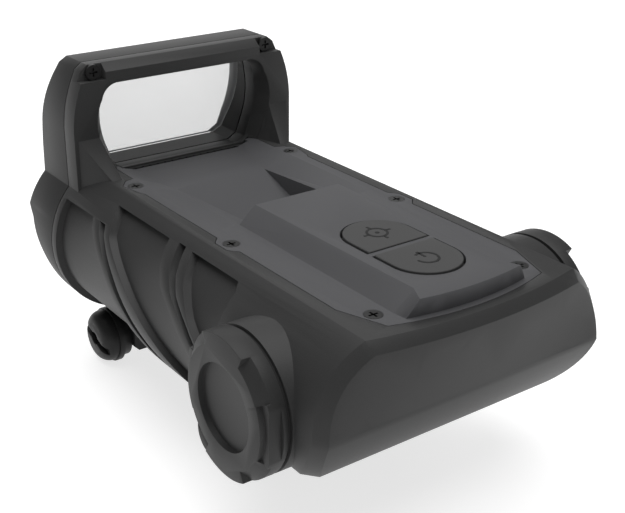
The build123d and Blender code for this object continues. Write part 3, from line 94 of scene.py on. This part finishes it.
@dataclass(frozen=True)
class Finish:
    """A procedural finish.

    Args:
        name: the material's name.
        colour: base colour, linear.
        roughness: mean roughness.
        grain: kind of texture.
        grain_size: size of one grain.
        relief: strength of the grain's bump.
        mottle: how far the colour varies, as a share of itself.
        metallic: 1 for bare metal.
        specular: reflection level of a coat.
    """

    name: str
    colour: tuple[float, float, float]
    roughness: float
    grain: Grain = Grain.COATED
    grain_size: float = 0.22 * MM
    relief: float = 0.12
    mottle: float = 0.10
    metallic: float = 0.0
    specular: float = 0.25

    def material(self) -> bpy.types.Material:
        """Builds the finish's material, or returns the one that is there.

        Returns:
            The material.
        """
        known = bpy.data.materials.get(self.name)
        if known:
            return known
        made = bpy.data.materials.new(self.name)
        made.use_nodes = True
        tree = made.node_tree
        shader = tree.nodes["Principled BSDF"]
        shader.inputs["Metallic"].default_value = self.metallic
        shader.inputs["Specular IOR Level"].default_value = self.specular
        place = tree.nodes.new("ShaderNodeTexCoord").outputs["Object"]
        cloud = self._noise(tree, place, CLOUD_SPAN * self.grain_size, CLOUD_DETAIL)
        speck = self._noise(tree, place, self.grain_size, SPECK_DETAIL)
        tree.links.new(self._tint(tree, cloud, speck), shader.inputs["Base Color"])
        tree.links.new(self._dullness(tree, speck), shader.inputs["Roughness"])
        tree.links.new(self._bump(tree, place, speck), shader.inputs["Normal"])
        return made

    def _noise(
        self,
        tree: bpy.types.NodeTree,
        place: bpy.types.NodeSocket,
        span: float,
        detail: float,
    ) -> bpy.types.NodeSocket:
        """Adds a noise texture.

        Args:
            tree: the material's nodes.
            place: the coordinates it reads.
            span: size of one wave of the noise.
            detail: octaves of finer noise.

        Returns:
            The socket with the noise's value.
        """
        noise = tree.nodes.new("ShaderNodeTexNoise")
        noise.inputs["Scale"].default_value = 1.0 / span
        noise.inputs["Detail"].default_value = detail
        tree.links.new(place, noise.inputs["Vector"])
        return noise.outputs["Fac"]

    def _tint(
        self,
        tree: bpy.types.NodeTree,
        cloud: bpy.types.NodeSocket,
        speck: bpy.types.NodeSocket,
    ) -> bpy.types.NodeSocket:
        """Varies the base colour in clouds and specks.

        Args:
            tree: the material's nodes.
            cloud: the coarse noise.
            speck: the fine noise.

        Returns:
            The socket with the colour.
        """
        blend = tree.nodes.new("ShaderNodeMix")
        blend.data_type = "FLOAT"
        blend.inputs[0].default_value = SPECK_SHARE
        tree.links.new(cloud, blend.inputs[2])
        tree.links.new(speck, blend.inputs[3])
        tint = tree.nodes.new("ShaderNodeValToRGB")
        darkest, lightest = tint.color_ramp.elements
        darkest.position, lightest.position = TINT_RANGE
        darkest.color = self._shade(1.0 - self.mottle)
        lightest.color = self._shade(1.0 + self.mottle)
        tree.links.new(blend.outputs[0], tint.inputs["Fac"])
        return tint.outputs["Color"]

    def _dullness(
        self, tree: bpy.types.NodeTree, speck: bpy.types.NodeSocket
    ) -> bpy.types.NodeSocket:
        """Varies the roughness in specks.

        Args:
            tree: the material's nodes.
            speck: the fine noise.

        Returns:
            The socket with the roughness.
        """
        rough = tree.nodes.new("ShaderNodeMapRange")
        rough.inputs["To Min"].default_value = self.roughness - ROUGHNESS_SPREAD
        rough.inputs["To Max"].default_value = self.roughness + ROUGHNESS_SPREAD
        tree.links.new(speck, rough.inputs["Value"])
        return rough.outputs["Result"]

    def _bump(
        self,
        tree: bpy.types.NodeTree,
        place: bpy.types.NodeSocket,
        speck: bpy.types.NodeSocket,
    ) -> bpy.types.NodeSocket:
        """Raises the grain.

        Args:
            tree: the material's nodes.
            place: the coordinates it reads.
            speck: the fine noise.

        Returns:
            The socket with the normal.
        """
        bump = tree.nodes.new("ShaderNodeBump")
        bump.inputs["Strength"].default_value = self.relief
        bump.inputs["Distance"].default_value = BUMP_DEPTH * self.grain_size
        tree.links.new(self._height(tree, place, speck), bump.inputs["Height"])
        return bump.outputs["Normal"]

    def _height(
        self,
        tree: bpy.types.NodeTree,
        place: bpy.types.NodeSocket,
        speck: bpy.types.NodeSocket,
    ) -> bpy.types.NodeSocket:
        """Gives the relief of this kind of grain, with cells on a cast or moulded surface.

        Args:
            tree: the material's nodes.
            place: the coordinates it reads.
            speck: the fine noise.

        Returns:
            The socket with the height.
        """
        if self.grain not in (Grain.MOULDED, Grain.COATED):
            return speck
        cells = tree.nodes.new("ShaderNodeTexVoronoi")
        cells.inputs["Scale"].default_value = 1.0 / (CELL_SPAN * self.grain_size)
        tree.links.new(place, cells.inputs["Vector"])
        both = tree.nodes.new("ShaderNodeMath")
        both.operation = "ADD"
        tree.links.new(cells.outputs["Distance"], both.inputs[0])
        tree.links.new(speck, both.inputs[1])
        return both.outputs[0]

    def _shade(self, factor: float) -> tuple[float, float, float, float]:
        """Returns the base colour times a factor, opaque."""
        return (*[min(1.0, channel * factor) for channel in self.colour], 1.0)


@dataclass(frozen=True)
class Glass:
    """A clear finish with a faint coating.

    Args:
        name: the material's name.
        colour: tint of what passes through.
        roughness: of the surface.
        haze: how far the tint varies.
    """

    name: str
    colour: tuple[float, float, float]
    roughness: float = 0.02
    haze: float = 0.03

    def material(self) -> bpy.types.Material:
        """Builds the glass, or returns the one that is there.

        Returns:
            The material.
        """
        known = bpy.data.materials.get(self.name)
        if known:
            return known
        made = bpy.data.materials.new(self.name)
        made.use_nodes = True
        tree = made.node_tree
        shader = tree.nodes["Principled BSDF"]
        shader.inputs["Roughness"].default_value = self.roughness
        shader.inputs["Transmission Weight"].default_value = 1.0
        shader.inputs["IOR"].default_value = GLASS_INDEX
        place = tree.nodes.new("ShaderNodeTexCoord").outputs["Object"]
        noise = tree.nodes.new("ShaderNodeTexNoise")
        noise.inputs["Scale"].default_value = 1.0 / GLASS_CLOUD
        tree.links.new(place, noise.inputs["Vector"])
        tint = tree.nodes.new("ShaderNodeValToRGB")
        hazy = [channel * (1.0 - self.haze) for channel in self.colour]
        tint.color_ramp.elements[0].color = (*hazy, 1.0)
        tint.color_ramp.elements[1].color = (*self.colour, 1.0)
        tree.links.new(noise.outputs["Fac"], tint.inputs["Fac"])
        tree.links.new(tint.outputs["Color"], shader.inputs["Base Color"])
        return made


COATING = Finish("coating", (0.031, 0.031, 0.031), 0.5)
COVER = Finish(
    "cover_plastic", (0.032, 0.032, 0.032), 0.5, Grain.MOULDED, 0.20 * MM, relief=0.14
)
BUTTON = Finish(
    "button_rubber", (0.042, 0.042, 0.042), 0.52, Grain.RUBBER, 0.18 * MM, relief=0.10
)
SEAL = Finish("seal_rubber", (0.008, 0.008, 0.008), 0.7, Grain.RUBBER, 0.3 * MM, relief=0.1)
SCREW = Finish(
    "blackened_screw",
    (0.012, 0.012, 0.012),
    0.42,
    Grain.TURNED,
    0.15 * MM,
    relief=0.08,
    mottle=0.15,
    metallic=0.2,
)
CLAMP = Finish(
    "blackened_clamp",
    (0.014, 0.014, 0.014),
    0.45,
    Grain.TURNED,
    0.25 * MM,
    relief=0.1,
    mottle=0.12,
    metallic=0.1,
)
CAP = Finish("anodised_cap", (0.025, 0.025, 0.025), 0.5, Grain.COATED, 0.20 * MM, relief=0.10)
FRAME_BLACK = Finish(
    "lens_frame", (0.012, 0.012, 0.012), 0.45, Grain.MOULDED, 0.2 * MM, relief=0.08
)
# near-black ink of the button marks: their own dark colour plus painted shade, standing in for the
# shade inside engraved lines that are not modelled
GLYPH_INK_AND_SHADE = Finish("glyph_ink_and_groove_shade", (0.006, 0.006, 0.006), 0.6, Grain.RUBBER, 0.1 * MM, relief=0.05)
BOARD = Finish("board_mask", (0.02, 0.15, 0.06), 0.3, Grain.PLAIN, 0.8 * MM, relief=0.05)
STEEL = Finish(
    "stamped_steel",
    (0.55, 0.55, 0.56),
    0.3,
    Grain.TURNED,
    0.3 * MM,
    relief=0.05,
    mottle=0.05,
    metallic=1.0,
)
GOLD = Finish(
    "contact_flash",
    (0.75, 0.58, 0.28),
    0.28,
    Grain.TURNED,
    0.3 * MM,
    relief=0.05,
    mottle=0.05,
    metallic=1.0,
)
SLEEVE = Finish("cell_sleeve", (0.08, 0.15, 0.38), 0.3, Grain.PLAIN, 2.0 * MM, relief=0.02)
LINER = Finish("tube_liner", (0.07, 0.07, 0.07), 0.5, Grain.MOULDED, 0.3 * MM, relief=0.08)
LENS = Glass("lens_glass", (0.93, 0.94, 0.945))
RED_GLASS = Glass("emitter_glass", (0.3, 0.03, 0.025), 0.05)

SLOT_FINISHES: dict[str, Finish | Glass] = {
    "housing_paint": COATING,
    "cover_plastic": COVER,
    "button_rubber": BUTTON,
    "seal_rubber": SEAL,
    "dark_screw": SCREW,
    "clamp_steel": CLAMP,
    "cap_aluminium": CAP,
    "frame_black": FRAME_BLACK,
    "lens_glass": LENS,
    "emitter_glass": RED_GLASS,
    "board_green": BOARD,
    "switch_metal": STEEL,
    "contact_metal": GOLD,
    "cell_wrap": SLEEVE,
    "tube_plastic": LINER,
}


def slot_of_node(node: str) -> str:
    """Finds a CAD node's material slot in the record.

    Args:
        node: the CAD node's name.

    Returns:
        The slot's name.
    """
    rows = frame["record"]["subparts"]
    return next(row["material_slot"] for row in rows if row["node"] == node)


def body_of_node(node: str) -> str:
    """Finds the CAD body that carries a node.

    Args:
        node: the CAD node's name.

    Returns:
        The body's name.
    """
    bodies = frame["record"]["behaviour"]["bodies"]
    return next(body for body, members in bodies.items() if node in members)


def dress(piece: bpy.types.Object, finish: Finish | Glass) -> None:
    """Gives a piece one finish.

    Args:
        piece: the mesh object.
        finish: what it is covered with.
    """
    piece.data.materials.clear()
    piece.data.materials.append(finish.material())


def choose(piece: bpy.types.Object) -> None:
    """Selects one object alone and makes it active.

    Args:
        piece: the object.
    """
    bpy.ops.object.select_all(action="DESELECT")
    piece.select_set(True)
    bpy.context.view_layer.objects.active = piece


def settle(piece: bpy.types.Object) -> None:
    """Puts a piece's place into its mesh, so that its object sits at the origin.

    Args:
        piece: the mesh object.
    """
    choose(piece)
    bpy.ops.object.transform_apply(location=True, rotation=True, scale=True)


def round_edges(piece: bpy.types.Object, width: float, segments: int = 2) -> None:
    """Bevels every edge of a small piece.

    Args:
        piece: the mesh object.
        width: width of the bevel.
        segments: steps in the bevel.
    """
    bevel = piece.modifiers.new("edges", "BEVEL")
    bevel.width = width
    bevel.segments = segments
    bpy.ops.object.modifier_apply(modifier=bevel.name)


@dataclass
class SoftenedNode:
    """A copy of a CAD node with its sharp edges rounded, shown in its place.

    Args:
        node: the CAD node.
        radius: width of the rounding.
        segments: steps in the rounding.
        sharp_angle: edges that turn by more than this are rounded, in degrees.
        flat_angle: faces that turn by less than this are made one, in degrees.
        merge: points nearer than this are made one.
    """

    node: str
    radius: float
    segments: int = 2
    sharp_angle: float = 32.0
    flat_angle: float = 0.6
    merge: float = 0.004 * MM

    def build(self) -> bpy.types.Object:
        """Makes the copy, rounds it and lets it stand for the node.

        Returns:
            The piece.
        """
        piece = self._copy()
        self._merge(piece)
        self._round(piece)
        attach(piece, body_of_node(self.node))
        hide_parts(self.node)
        dress(piece, SLOT_FINISHES[slot_of_node(self.node)])
        LOG.info("rounded %s", self.node)
        return piece

    def _copy(self) -> bpy.types.Object:
        """Copies the node's mesh into a new object without the node's tags.

        Returns:
            The piece, with the mesh as it is in the frame.
        """
        source = frame["nodes"][self.node]
        piece = source.copy()
        piece.data = source.data.copy()
        for key in list(piece.keys()):
            del piece[key]
        piece.parent = None
        piece.name = f"soft_{self.node}"
        piece.data.name = piece.name
        bpy.context.scene.collection.objects.link(piece)
        piece.hide_viewport = False
        piece.hide_render = False
        return piece

    def _merge(self, piece: bpy.types.Object) -> None:
        """Joins the loose triangles into whole faces.

        Args:
            piece: the copy.
        """
        choose(piece)
        bpy.ops.object.mode_set(mode="EDIT")
        bpy.ops.mesh.select_all(action="SELECT")
        bpy.ops.mesh.remove_doubles(threshold=self.merge)
        bpy.ops.mesh.dissolve_limited(angle_limit=math.radians(self.flat_angle))
        bpy.ops.object.mode_set(mode="OBJECT")

    def _round(self, piece: bpy.types.Object) -> None:
        """Rounds the sharp edges and smooths the shading between them.

        Args:
            piece: the merged copy.
        """
        bevel = piece.modifiers.new("rounding", "BEVEL")
        bevel.width = self.radius
        bevel.segments = self.segments
        bevel.limit_method = "ANGLE"
        bevel.angle_limit = math.radians(self.sharp_angle)
        bevel.use_clamp_overlap = True
        bevel.miter_outer = "MITER_ARC"
        bpy.ops.object.modifier_apply(modifier=bevel.name)
        bpy.ops.object.shade_smooth_by_angle(angle=math.radians(COPY_SMOOTH_ANGLE))


@dataclass
class ButtonGlyphs:
    """Marks on the two halves of the keypad: a reticle in front and a power symbol behind. They are
    raised in near-black ink that gives the marks' own dark colour plus painted shade for the hollows
    of engraved lines.

    Args:
        stroke: width of a line.
        height: how far the ink stands above the button.
        ring_steps: steps round a ring.
        reticle_radius: ring on the front button.
        dot_radius: dot in its middle.
        tick_length: length of its four ticks.
        tick_reach: from the ring's line to a tick's middle.
        power_radius: ring on the rear button.
        power_gap: opening in that ring, in degrees.
        bar_middle: middle of the bar in the opening, as a share of the ring's radius.
        bar_length: length of the bar, as a share of the same.
    """

    stroke: float = 0.5 * MM
    height: float = 0.04 * MM
    ring_steps: int = 44
    reticle_radius: float = 1.9 * MM
    dot_radius: float = 0.45 * MM
    tick_length: float = 1.1 * MM
    tick_reach: float = 0.65 * MM
    power_radius: float = 2.1 * MM
    power_gap: float = 62.0
    bar_middle: float = 0.75
    bar_length: float = 1.15

    def build(self) -> list[bpy.types.Object]:
        """Makes both marks.

        Returns:
            The two pieces.
        """
        made = []
        for node, draw in (("mode_button", self._reticle), ("power_button", self._power)):
            low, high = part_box(node)
            middle = Vector(((low.x + high.x) / 2, (low.y + high.y) / 2, high.z))
            piece = self._join(draw(middle), f"{node}_mark")
            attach(piece, body_of_node(node))
            dress(piece, GLYPH_INK_AND_SHADE)
            LOG.info("drew %s", piece.name)
            made.append(piece)
        return made

    def _reticle(self, middle: Vector) -> list[bpy.types.Object]:
        """Draws a ring with a dot and four ticks.

        Args:
            middle: middle of the button's top.

        Returns:
            The strokes.
        """
        parts = [self._ring(middle, self.reticle_radius, 0.0), self._dot(middle)]
        for quarter in range(4):
            angle = math.radians(90.0 * quarter)
            outwards = Vector((math.sin(angle), math.cos(angle), 0))
            centre = middle + outwards * (self.reticle_radius + self.tick_reach)
            parts.append(self._bar(centre, self.tick_length, -angle))
        return parts

    def _power(self, middle: Vector) -> list[bpy.types.Object]:
        """Draws a ring open at the front, with a bar in the opening.

        Args:
            middle: middle of the button's top.

        Returns:
            The strokes.
        """
        centre = middle + Vector((0, self.power_radius * self.bar_middle, 0))
        bar = self._bar(centre, self.power_radius * self.bar_length, 0.0)
        return [self._ring(middle, self.power_radius, self.power_gap), bar]

    def _ring(self, middle: Vector, radius: float, gap: float) -> bpy.types.Object:
        """Makes a flat ring by spinning its cross-section.

        Args:
            middle: middle of the ring.
            radius: of the line's middle.
            gap: opening at the front in degrees, or 0 for a whole ring.

        Returns:
            The ring.
        """
        bpy.ops.object.select_all(action="DESELECT")
        bpy.ops.mesh.primitive_plane_add(size=1.0)
        piece = bpy.context.object
        piece.scale = (self.stroke, self.height * 2, 1.0)
        piece.rotation_euler = (math.radians(90), 0, 0)
        piece.location = (radius, 0, 0)
        settle(piece)
        bpy.ops.object.mode_set(mode="EDIT")
        bpy.ops.mesh.select_all(action="SELECT")
        bpy.ops.mesh.spin(
            steps=self.ring_steps,
            angle=math.radians(360.0 - gap),
            center=(0, 0, 0),
            axis=(0, 0, 1),
            use_auto_merge=True,
        )
        bpy.ops.mesh.select_all(action="SELECT")
        if not gap:
            bpy.ops.mesh.remove_doubles(threshold=0.001 * MM)
        bpy.ops.mesh.normals_make_consistent(inside=False)
        bpy.ops.object.mode_set(mode="OBJECT")
        piece.rotation_euler = (0, 0, math.radians(90.0 + gap / 2))
        piece.location = middle
        settle(piece)
        return piece

    def _bar(self, middle: Vector, length: float, angle: float) -> bpy.types.Object:
        """Makes a short flat bar with softened edges.

        Args:
            middle: middle of the bar.
            length: of the bar, along the sight when it isn't turned.
            angle: how far it is turned, in radians.

        Returns:
            The bar.
        """
        bpy.ops.object.select_all(action="DESELECT")
        bpy.ops.mesh.primitive_cube_add(size=1.0)
        piece = bpy.context.object
        piece.scale = (self.stroke, length, self.height * 2)
        piece.rotation_euler = (0, 0, angle)
        piece.location = middle
        settle(piece)
        round_edges(piece, self.height * 0.5)
        return piece

    def _dot(self, middle: Vector) -> bpy.types.Object:
        """Makes a flat round dot with a softened rim.

        Args:
            middle: middle of the dot.

        Returns:
            The dot.
        """
        bpy.ops.object.select_all(action="DESELECT")
        bpy.ops.mesh.primitive_cylinder_add(
            vertices=32, radius=self.dot_radius, depth=self.height * 2, location=middle
        )
        piece = bpy.context.object
        settle(piece)
        round_edges(piece, self.height * 0.4)
        return piece

    def _join(self, parts: list[bpy.types.Object], name: str) -> bpy.types.Object:
        """Joins a mark's strokes into one piece.

        Args:
            parts: the strokes.
            name: the piece's name.

        Returns:
            The piece.
        """
        bpy.ops.object.select_all(action="DESELECT")
        for part in parts:
            part.select_set(True)
        bpy.context.view_layer.objects.active = parts[0]
        bpy.ops.object.join()
        piece = bpy.context.object
        piece.name = name
        piece.data.name = name
        return piece


@dataclass(frozen=True)
class Lamp:
    """A large round soft light, aimed at the sight.

    Args:
        name: the light's name.
        place: where it hangs.
        size: its width.
        power: in watts.
    """

    name: str
    place: tuple[float, float, float]
    size: float
    power: float

    def build(self) -> None:
        """Hangs the lamp."""
        light = bpy.data.lights.new(self.name, "AREA")
        light.shape = "DISK"
        light.size = self.size
        light.energy = self.power
        holder = bpy.data.objects.new(self.name, light)
        bpy.context.scene.collection.objects.link(holder)
        holder.location = self.place
        aim = Vector((0, 0, 0.02)) - Vector(self.place)
        holder.rotation_euler = aim.to_track_quat("-Z", "Y").to_euler()


@dataclass
class Studio:
    """Floor, lights and camera.

    Args:
        floor_size: side of the floor.
        floor_colour: grey level of the floor.
        sky: strength of the even light from all round.
        glow: strength of the floor's own light, which makes it white.
        lamps: the soft lights.
        focal: the camera's focal length, in millimetres on a 36 mm sensor.
        place: where the camera stands.
        tilt: the camera's angle from looking straight down, in degrees.
        turn: the camera's direction, in degrees.
        shift: the camera's shift, in frame widths.
    """

    floor_size: float = 30.0
    floor_colour: float = 0.5
    sky: float = 0.22
    glow: float = 0.72
    lamps: tuple[Lamp, ...] = (
        Lamp("overhead", (0.1, 0.0, 2.4), 3.0, 66.0),
        Lamp("front", (0.9, 2.6, 1.3), 3.0, 20.0),
    )
    focal: float = 64.86
    place: tuple[float, float, float] = (-0.12198, -0.18823, 0.12049)
    tilt: float = 66.12
    turn: float = -35.11
    shift: tuple[float, float] = (0.0436, -0.0066)

    def build(self) -> None:
        """Builds the surroundings."""
        self._floor()
        self._even_light()
        for lamp in self.lamps:
            lamp.build()
        self._camera()
        LOG.info("built the studio")

    def _floor(self) -> None:
        """Lays a pale floor under the lowest point."""
        bpy.ops.object.select_all(action="DESELECT")
        bpy.ops.mesh.primitive_plane_add(size=self.floor_size, location=(0, 0, CAD_BOX[0].z))
        floor = bpy.context.object
        floor.name = "floor"
        paint = bpy.data.materials.new("floor_paint")
        paint.use_nodes = True
        shader = paint.node_tree.nodes["Principled BSDF"]
        shader.inputs["Base Color"].default_value = (*[self.floor_colour] * 3, 1)
        shader.inputs["Emission Color"].default_value = (1, 1, 1, 1)
        shader.inputs["Emission Strength"].default_value = self.glow
        shader.inputs["Roughness"].default_value = 0.9
        shader.inputs["Specular IOR Level"].default_value = 0.1
        floor.data.materials.append(paint)

    def _even_light(self) -> None:
        """Surrounds the sight with even white light."""
        world = bpy.data.worlds.new("even_light")
        bpy.context.scene.world = world
        world.use_nodes = True
        background = world.node_tree.nodes["Background"]
        background.inputs["Color"].default_value = (1, 1, 1, 1)
        background.inputs["Strength"].default_value = self.sky

    def _camera(self) -> None:
        """Places the camera."""
        data = bpy.data.cameras.new("view")
        data.lens = self.focal
        data.sensor_width = 36.0
        data.shift_x, data.shift_y = self.shift
        data.clip_start = 0.005
        data.clip_end = 50.0
        camera = bpy.data.objects.new("view", data)
        camera.location = self.place
        camera.rotation_euler = (math.radians(self.tilt), 0, math.radians(self.turn))
        bpy.context.scene.collection.objects.link(camera)
        bpy.context.scene.camera = camera
        bpy.context.scene.view_settings.view_transform = "Standard"


ROUNDED = (
    SoftenedNode("main_housing", 0.35 * MM),
    SoftenedNode("front_bezel", 0.35 * MM),
    SoftenedNode("top_cover", 0.22 * MM),
    SoftenedNode("left_battery_cap", 0.3 * MM),
    SoftenedNode("right_battery_cap", 0.3 * MM),
    SoftenedNode("mode_button", 0.15 * MM),
    SoftenedNode("power_button", 0.15 * MM),
    SoftenedNode("front_clamp_nut", 0.2 * MM),
    SoftenedNode("rear_clamp_nut", 0.2 * MM),
    SoftenedNode("lens_retainer", 0.12 * MM),
)


def dress_nodes() -> None:
    """Gives every CAD node the finish of its slot."""
    for name, node in frame["nodes"].items():
        choose(node)
        bpy.ops.object.shade_smooth_by_angle(angle=math.radians(NODE_SMOOTH_ANGLE))
        dress(node, SLOT_FINISHES[slot_of_node(name)])
        LOG.info("dressed %s", name)


def main() -> None:
    """Builds every piece and the studio."""
    logging.basicConfig(level=logging.INFO, format="%(message)s")
    dress_nodes()
    for part in ROUNDED:
        part.build()
    ButtonGlyphs().build()
    Studio().build()


if __name__ == "__main__":
    main()
